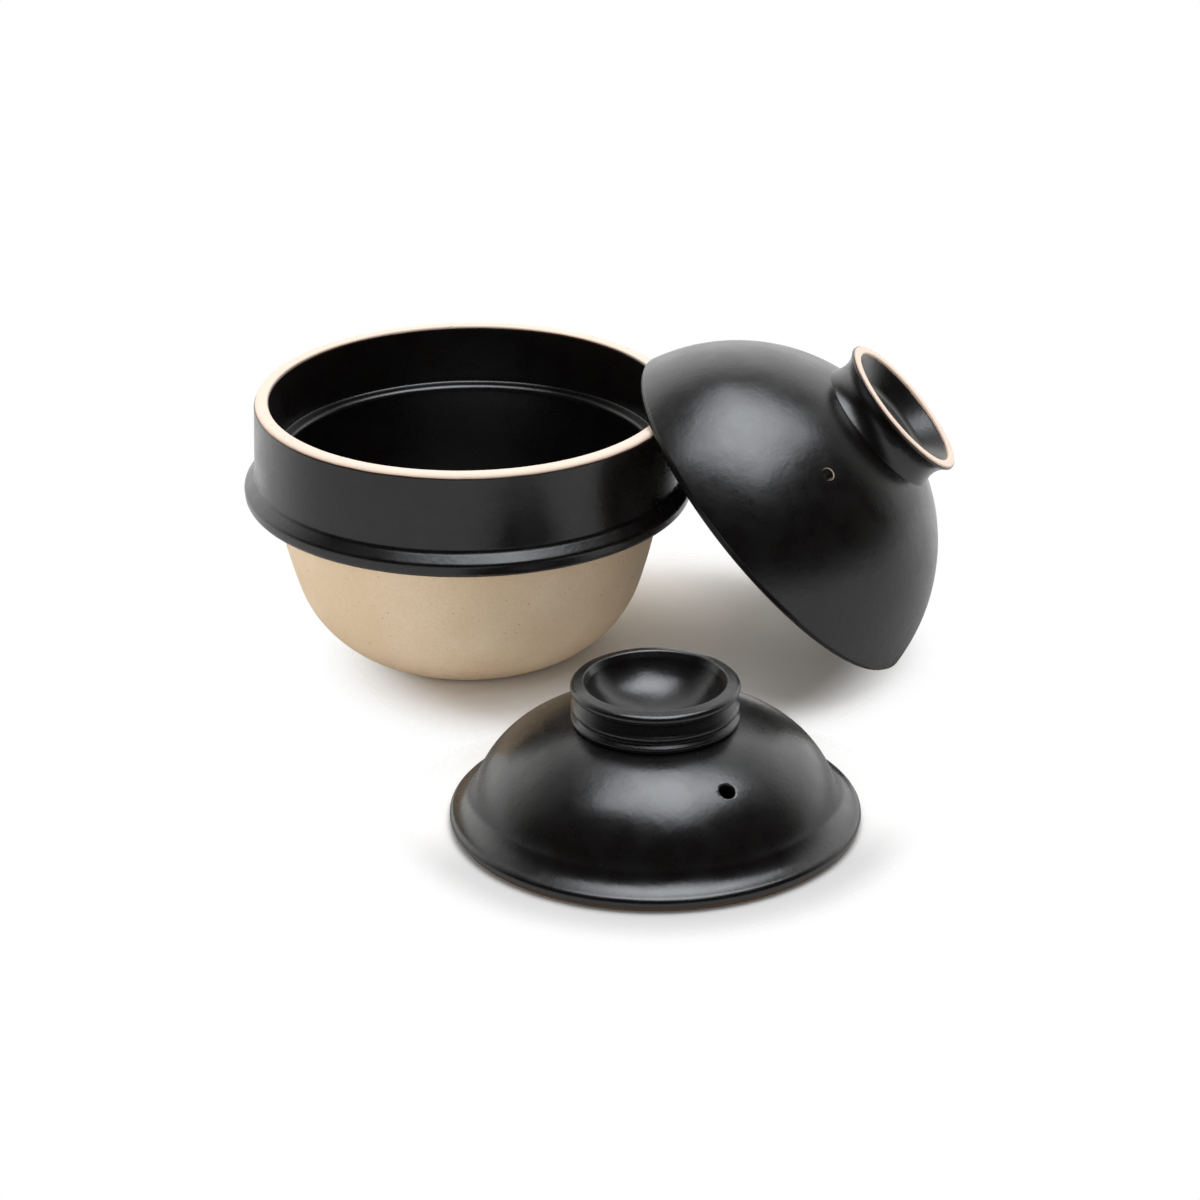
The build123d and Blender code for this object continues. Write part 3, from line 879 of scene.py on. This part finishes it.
# %% The inner lid's knob
LIP_Z = 59.5
valley, lip_foot, lip_end = (30.9, 47.4), (31.3, 55.3), (31.4, 58.45)
low_bead_corners = [(31.2, 43.2), (32.3, 43.8), (32.6, 44.9), (30.9, 46.5), valley]
low_bead = rounded(low_bead_corners, [0.6, 0.6, 0.3], 6, 0.4)
high_bead_corners = [valley, (32.35, 48.6), (32.4, 49.5), (31.75, 50.3)]
high_bead = rounded(high_bead_corners, [0.5, 0.5], 6, 0.4)
groove = run(high_bead[-1], (30.1, 54.7), 0.6)
lip = joined(run(groove[-1], lip_foot, 0.5), bow(lip_foot, (32.7, 56.8), lip_end, 18))
lip_top = rounded([lip_end, (28.0, 59.1), (26.6, 57.0)], [0.7], 6, 0.4)
dish_floor, heading = arc((0, LIP_Z - 15.6), 0, (15, 46.3), 20)
small_dish = joined(dish_floor, arc(dish_floor[-1], heading, lip_top[-1], 24)[0])
knob_line = joined([SMALL_NECK, low_bead[0]], low_bead, high_bead, groove, lip, lip_top)
knob_line = joined(knob_line, small_dish[::-1])
print("the inner lid is", LIP_Z, "mm high and its dish", LIP_Z - dish_floor[0][1], "mm deep")

# %% The inner lid's clay
section = joined(small_dome, small_wall, flare, brim_edge, under_edge[::-1], small_foot[::-1])
section = joined(section, skirt_in[::-1], small_wall_in[::-1], small_dome_in[::-1])
small_dome_clay = turn_clay("inner_lid_dome_clay", section)
knob_section = joined(small_crown, [small_crown[-1], SMALL_NECK], knob_line)
small_knob_clay = turn_clay("inner_lid_knob_clay", knob_section, 192)
print("clay:", small_dome_clay.name, small_knob_clay.name)

# %% [markdown]
# One coat covers the whole upper face, from the dish over the lip and the beads down to the brim. Glaze
# has half filled the valleys between the beads. The second coat lines the dome from below.

# %% The inner lid's glaze
cover_run = joined(knob_line[::-1], small_dome, small_wall, flare, brim_edge, under_edge[::-1])
cover_end = mark(cover_run, (BRIM_R, BRIM_Z))
cover_glaze = coat("inner_lid_top_glaze", cover_run, 0, cover_end, turns=208, seed=31)

lining_run = joined(small_crown, small_dome_in, small_wall_in, skirt_in)
lining_end = lengths(lining_run)[-1] - 0.3
lining_glaze = coat("inner_lid_under_glaze", lining_run, 0, lining_end, side=-1, seed=33)

for piece in (small_dome_clay, small_knob_clay, cover_glaze, lining_glaze):
    face_out(piece)
ripple(cover_glaze, GLAZE_WAVE, 7)
ripple(lining_glaze, GLAZE_WAVE, 8)
print("the upper coat runs", round(cover_end, 1), "mm from the dish to the brim")

# %% The inner lid's vent
SMALL_VENT_REACH, SMALL_VENT_TURN, SMALL_VENT_Z = 54.1, -62.4, 34.0
arc_centre = circle_through(small_dome[0], small_dome[15], small_dome[-1])
arc_radius = hypot(small_dome[0][0] - arc_centre[0], small_dome[0][1] - arc_centre[1])
small_vent = (SMALL_VENT_REACH, SMALL_VENT_TURN, 3.0, 0.9, 6.5)
drill = vent_drill(arc_centre, arc_radius + GLAZE, *small_vent)
bore([small_dome_clay, cover_glaze, lining_glaze], drill)

# %% [markdown]
# The lid stands level, so it only moves sideways, to the middle of the packed dome's box. The wall of
# its vent is painted black and glossy. The bare foot under the brim is painted dark, glossy and brown,
# partly the clay's own darker colour and partly painted shade under the brim.

# %% Fit the inner lid
cad_low, cad_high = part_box("inner_lid_dome")
centre = (cad_low + cad_high) / 2
beside = Matrix.Translation((centre.x, centre.y, 0))
small_r, small_z, places = local_points(small_dome_clay)
vent_at = spot_at(SMALL_VENT_REACH, SMALL_VENT_TURN, SMALL_VENT_Z)
near_vent = np.clip((9 - np.linalg.norm(places - vent_at, axis=1)) / 2, 0, 1)
# Painted shade: the foot under the brim is painted dark, glossy and browner, partly its own darker
# clay.
foot_painted_shade = small_r > 76
paint(small_dome_clay, "wash", np.maximum(near_vent, np.where(foot_painted_shade, 0.75, 0)))
paint(small_dome_clay, "stain", np.where(foot_painted_shade, np.clip((small_z + 0.6) / 1.6, 0, 1), 0))
clay(small_dome_clay, "inner_lid_dome", "inner_lid", beside)
clay(small_knob_clay, "inner_lid_knob", "inner_lid", beside)
glaze(cover_glaze, "inner_lid_glaze_outside", "inner_lid", beside, cover_run, [cover_end])
glaze(lining_glaze, "inner_lid_glaze_inside", "inner_lid", beside, lining_run, [lining_end])

# %% [markdown]
# ## The studio
# The pieces stand on a white sheet. A plain white plane would show its edge and a grey cast, so the
# floor's colour depends on who looks, which Light Path tells. Matt light sees an almost white sheet.
# Glossy rays, the reflections in the glaze, see it darker toward the camera, as in a room that is
# dark on that side. The camera sees a grey-white sheet that holds the shadows, with a painted shadow
# where its colour is darker in front of the inner lid. It fades out to the white background round two
# soft ellipses, one under the pot and the leaning lid and one under the inner lid.

# %% Floor
FLOOR_STEPS = range(0, 900, 100)
FLOOR_MIDDLE_X = 40
FADES = (
    {"middle": (0.0675, -0.015), "size": (0.12, 0.105), "soft": (0.72, 1.12)},
    {"middle": (0.071, -0.174), "size": (0.1, 0.1), "soft": (0.86, 1.06)},
)


def floor_colour(f, place, ray):
    """Colour of the sheet for the camera, for reflections and for matt light."""
    front_to_back = f.ramp(place.outputs[1], -0.1, 0.25, 0, 1)
    mirrored = f.blend(front_to_back, (0.46, 0.445, 0.435, 1), (0.97, 0.95, 0.93, 1))
    lit = f.blend(ray["Is Glossy Ray"], (0.95, 0.92, 0.88, 1), mirrored)
    # Painted shadow: the camera sees the sheet darker in front of the inner lid.
    front_painted_shadow = f.ramp(place.outputs[1], -0.17, -0.22, 0, 1)
    near = f.blend(front_painted_shadow, (0.88, 0.85, 0.815, 1), (0.62, 0.6, 0.58, 1))
    return f.blend(ray["Is Camera Ray"], lit, near)


def inside_fade(f, place, middle, size, soft):
    """1 inside a soft ellipse on the floor and 0 outside."""
    across = f.math("DIVIDE", f.math("SUBTRACT", place.outputs[0], middle[0]), size[0])
    deep = f.math("DIVIDE", f.math("SUBTRACT", place.outputs[1], middle[1]), size[1])
    away = f.math("SQRT", f.plus(f.times(across, across), f.times(deep, deep)))
    return f.ramp(away, soft[0], soft[1], 1, 0)


def studio_floor():
    """White floor under the pieces."""
    c, s = circle(96)
    level = np.zeros(len(c))
    rings = [np.column_stack([r * c + FLOOR_MIDDLE_X, r * s, level]) for r in FLOOR_STEPS]
    rings[0] = np.array([[FLOOR_MIDDLE_X, 0.0, 0.0]])
    floor = grid_piece("floor", rings, closed=False)
    f = Finish("white_floor")
    place = f.node("SeparateXYZ", Vector=f.coords)
    ray = f.tree.nodes.new("ShaderNodeLightPath").outputs
    f.put(f.shader.inputs["Base Color"], floor_colour(f, place, ray))
    f.shader.inputs["Roughness"].default_value = 1
    f.shader.inputs["Specular IOR Level"].default_value = 0
    shown = f.math("MAXIMUM", *[inside_fade(f, place, **fade) for fade in FADES])
    hidden = f.times(ray["Is Camera Ray"], f.rest(shown))
    f.put(f.shader.inputs["Alpha"], f.rest(hidden))
    floor.data.materials.append(f.material)
    return floor


floor = studio_floor()
print("floor:", [round(v, 2) for v in floor.dimensions])

# %% [markdown]
# ### The room
# A black glaze shows its surroundings, so the room matters more than the lamps. A picture of a studio
# could light it, but the light here depends only on the direction it comes from. Reflections see a
# bright wall behind and a dark room at the camera's side, which is why the glaze stays black in
# front. Matt clay gets an even, low fill instead, through Is Glossy Ray. The camera itself sees
# plain white.


# %% Room
def glossy_level(f, way):
    """Light that reflections see from a direction."""
    behind = f.ramp(way.outputs[1], -0.05, 0.75, 0, 1)
    under_ceiling = f.ramp(way.outputs[2], 0.5, 0.85, 1, 0.1)
    above = f.plus(f.times(f.times(behind, under_ceiling), 1.45), 0.008)
    below = f.plus(f.times(behind, 0.75), 0.3)
    is_above = f.ramp(way.outputs[2], -0.03, 0.03, 0, 1)
    return f.plus(f.times(above, is_above), f.times(below, f.rest(is_above)))


def fill_level(f, way):
    """Light that matt surfaces get from a direction."""
    low = f.ramp(way.outputs[2], 0.45, 0.8, 1, 0.1)
    leftward = f.ramp(way.outputs[0], -0.5, 0.7, 1.1, 0.8)
    backward = f.ramp(way.outputs[1], -0.3, 0.5, 0.9, 1.6)
    return f.times(f.times(low, leftward), backward)


def room():
    """World light by direction."""
    world = bpy.data.worlds.new("room")
    bpy.context.scene.world = world
    world.use_nodes = True
    world.node_tree.nodes.clear()
    f = Nodes(world.node_tree, "Generated")
    way = f.node("SeparateXYZ", Vector=f.coords)
    ray = f.tree.nodes.new("ShaderNodeLightPath").outputs
    glossy = f.times(glossy_level(f, way), ray["Is Glossy Ray"])
    level = f.plus(glossy, f.times(fill_level(f, way), f.rest(ray["Is Glossy Ray"])))
    light = f.node("Background", Color=(0.985, 1.0, 0.985, 1), Strength=level)
    plain = f.node("Background", Color=(1, 1, 1, 1), Strength=1.0)
    mix = f.tree.nodes.new("ShaderNodeMixShader")
    out = f.tree.nodes.new("ShaderNodeOutputWorld")
    f.put(mix.inputs[0], ray["Is Camera Ray"])
    f.put(mix.inputs[1], light.outputs[0])
    f.put(mix.inputs[2], plain.outputs[0])
    f.put(out.inputs[0], mix.outputs[0])
    return world


print("world:", room().name)

# %% [markdown]
# ### The soft box
# One large soft box hangs overhead, a little to the right. A single area lamp of even strength would
# end too abruptly in the glaze, so a smaller one under its middle makes the centre brighter.

# %% Soft box
BOX_COLOUR = (0.965, 1.0, 1.055)


def soft_box(name, place, target, width, depth, radiance):
    """Rectangular soft light that faces a target."""
    lamp = bpy.data.lights.new(name, "AREA")
    lamp.shape, lamp.size, lamp.size_y = "RECTANGLE", width, depth
    lamp.energy = radiance * pi * width * depth
    lamp.color = BOX_COLOUR
    thing = bpy.data.objects.new(name, lamp)
    bpy.context.scene.collection.objects.link(thing)
    thing.location = place
    thing.rotation_euler = (Vector(target) - Vector(place)).to_track_quat("-Z", "Y").to_euler()
    print(name, "gives", round(lamp.energy, 1), "W")


soft_box("overhead_soft_box", (0.2, -0.12, 1.6), (0.08, -0.05, 0), 1.55, 1.45, 3.4)
soft_box("soft_box_lamp", (0.22, -0.12, 1.58), (0.08, -0.05, 0), 0.8, 0.75, 2.0)

# %% [markdown]
# ## The camera
# A long lens looks down at the pot by 24 degrees from 1.8 metres away. Height, tilt and lens were found
# from the ellipses of the pot's rim and collar and of the lids.

# %% Camera
YAW, PITCH, ROLL = 0.0333033074, 0.4176897641, -0.0050600623
STAND = (0, -1.65977, 0.75338)
LENS, SENSOR = 127.2237, 36
forward = Vector((sin(YAW) * cos(PITCH), cos(YAW) * cos(PITCH), -sin(PITCH)))
right = Vector((cos(YAW), -sin(YAW), 0))
up = right.cross(forward)
side = right * cos(ROLL) + up * sin(ROLL)
top = up * cos(ROLL) - right * sin(ROLL)
lens = bpy.data.cameras.new("camera")
lens.lens, lens.sensor_width, lens.sensor_fit = LENS, SENSOR, "HORIZONTAL"
camera = bpy.data.objects.new("camera", lens)
bpy.context.scene.collection.objects.link(camera)
turn = Matrix((side, top, -forward)).transposed()
camera.matrix_world = Matrix.Translation(STAND) @ turn.to_4x4()
bpy.context.scene.camera = camera
bpy.context.scene.view_settings.view_transform = "Standard"
print("camera at", [round(v, 3) for v in camera.location])
